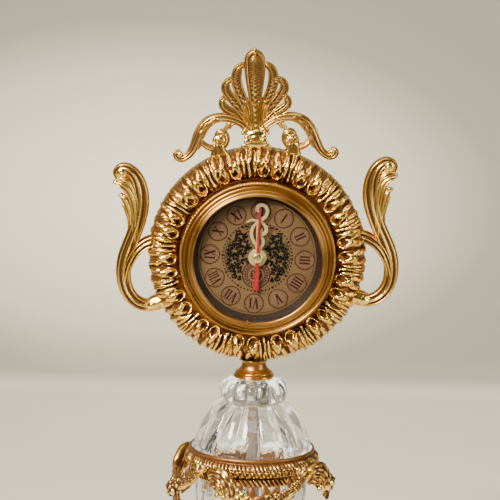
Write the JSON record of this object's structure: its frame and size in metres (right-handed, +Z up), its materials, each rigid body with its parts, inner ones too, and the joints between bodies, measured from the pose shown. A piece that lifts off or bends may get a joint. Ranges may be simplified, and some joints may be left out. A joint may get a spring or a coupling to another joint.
{
  "type": "mantel clock",
  "caption": "Brass and crystal mantel clock: quartz insert with hands and gear train in a cast wreath with crest and handles, on a glass and brass stand",
  "frame": {"origin": "centre of the felt under the base, on the stand's axis, in the plane the clock rests on", "axes": "+Z up along the stand; the dial faces -Y; +X is towards the viewer's right as they face the dial"},
  "size_m": [0.1885, 0.1126, 0.4277],
  "materials": {
    "cast_brass": "antiqued casting: dark red-brown in the hollows, rubbed bright on the high spots",
    "turned_brass": "satin turned and lacquered",
    "gear_brass": "bright stamped",
    "crystal": "clear polished",
    "window_glass": "flat clear",
    "steel": "zinc plated",
    "magnet": "sintered, dark grey",
    "felt": "felt",
    "clear_washer": "translucent soft plastic",
    "dial_plate": "printed champagne-gold plate",
    "cream_paint": "matt cream paint on thin metal",
    "red_paint": "satin red paint with a brass boss",
    "black_plastic": "fine texture",
    "dark_wall": "dark bronze paint",
    "white_plastic": "moulded acetal",
    "rubber": "ribbed",
    "copper_wire": "enamelled winding",
    "circuit_green": "solder-masked board",
    "cell_sleeve": "printed sleeve"
  },
  "bodies": {
    "stand": {"felt_pad": "felt", "base_plinth": "cast_brass", "base_leaf_band": "cast_brass", "rod_nuts": "steel", "rod_washer": "steel", "stem": "cast_brass", "calyx": "cast_brass", "lower_crystal": "crystal", "glass_washers": "clear_washer", "garland_ring": "cast_brass", "garland_front": "cast_brass", "garland_right": "cast_brass", "garland_back": "cast_brass", "garland_left": "cast_brass", "upper_crystal": "crystal", "tie_rod": "steel", "neck_collar": "cast_brass", "wreath": "cast_brass", "crest": "cast_brass", "crest_screws": "steel", "handle_right": "cast_brass", "handle_left": "cast_brass", "handle_screws": "steel", "back_plate": "turned_brass", "back_plate_screws": "steel"},
    "insert": {"bezel": "turned_brass", "lens": "window_glass", "rehaut_ring": "dark_wall", "dial": "dial_plate", "insert_can": "black_plastic", "insert_gasket": "rubber", "movement_front_case": "black_plastic", "movement_rear_case": "black_plastic", "centre_bushing": "gear_brass", "bushing_nut": "gear_brass", "train_bridge": "white_plastic", "circuit_board": "circuit_green", "quartz_can": "steel", "coil": "copper_wire", "stator": "steel", "positive_contact": "steel", "negative_contact": "steel"},
    "battery": {"battery": "cell_sleeve"},
    "minute": {"centre_wheel": "gear_brass", "minute_hand": "cream_paint"},
    "hour": {"hour_wheel": "gear_brass", "hour_hand": "cream_paint"},
    "second": {"second_wheel": "gear_brass", "second_hand": "red_paint"},
    "third": {"third_wheel": "gear_brass"},
    "intermediate": {"intermediate_wheel": "white_plastic"},
    "rotor": {"rotor": "magnet"},
    "motion": {"motion_wheel": "gear_brass"},
    "knob": {"setting_knob": "black_plastic"}
  },
  "joints": [
    {"name": "insert_slide", "type": "slide", "parent": "stand", "child": "insert", "axis": [0, -1, 0], "range_m": [0, 0.04]},
    {"name": "battery_slide", "type": "slide", "parent": "insert", "child": "battery", "axis": [0, 1, 0], "range_m": [0, 0.022]},
    {"name": "minute_spin", "type": "hinge", "parent": "insert", "child": "minute", "pos_m": [0, -0.005, 0.29], "axis": [0, 1, 0], "continuous": true},
    {"name": "hour_spin", "type": "hinge", "parent": "insert", "child": "hour", "pos_m": [0, -0.006, 0.29], "axis": [0, 1, 0], "continuous": true},
    {"name": "second_spin", "type": "hinge", "parent": "insert", "child": "second", "pos_m": [0, 0, 0.29], "axis": [0, 1, 0], "continuous": true},
    {"name": "third_spin", "type": "hinge", "parent": "insert", "child": "third", "pos_m": [0.0045, 0, 0.29779], "axis": [0, 1, 0], "continuous": true},
    {"name": "intermediate_spin", "type": "hinge", "parent": "insert", "child": "intermediate", "pos_m": [-0.00624, 0.006, 0.2936], "axis": [0, 1, 0], "continuous": true},
    {"name": "rotor_spin", "type": "hinge", "parent": "insert", "child": "rotor", "pos_m": [-0.00974, 0.008, 0.29966], "axis": [0, 1, 0], "continuous": true},
    {"name": "motion_spin", "type": "hinge", "parent": "insert", "child": "motion", "pos_m": [0.00851, -0.002, 0.2885], "axis": [0, 1, 0], "continuous": true},
    {"name": "knob_spin", "type": "hinge", "parent": "insert", "child": "knob", "pos_m": [0.01599, 0.014, 0.29282], "axis": [0, 1, 0], "continuous": true}
  ],
  "couplings": [
    {"joint": "hour_spin", "follows": "minute_spin", "ratio": 0.083333},
    {"joint": "second_spin", "follows": "minute_spin", "ratio": 60},
    {"joint": "third_spin", "follows": "minute_spin", "ratio": -8},
    {"joint": "intermediate_spin", "follows": "minute_spin", "ratio": -300},
    {"joint": "rotor_spin", "follows": "minute_spin", "ratio": 1800},
    {"joint": "motion_spin", "follows": "minute_spin", "ratio": -0.33333},
    {"joint": "knob_spin", "follows": "minute_spin", "ratio": 1}
  ]
}
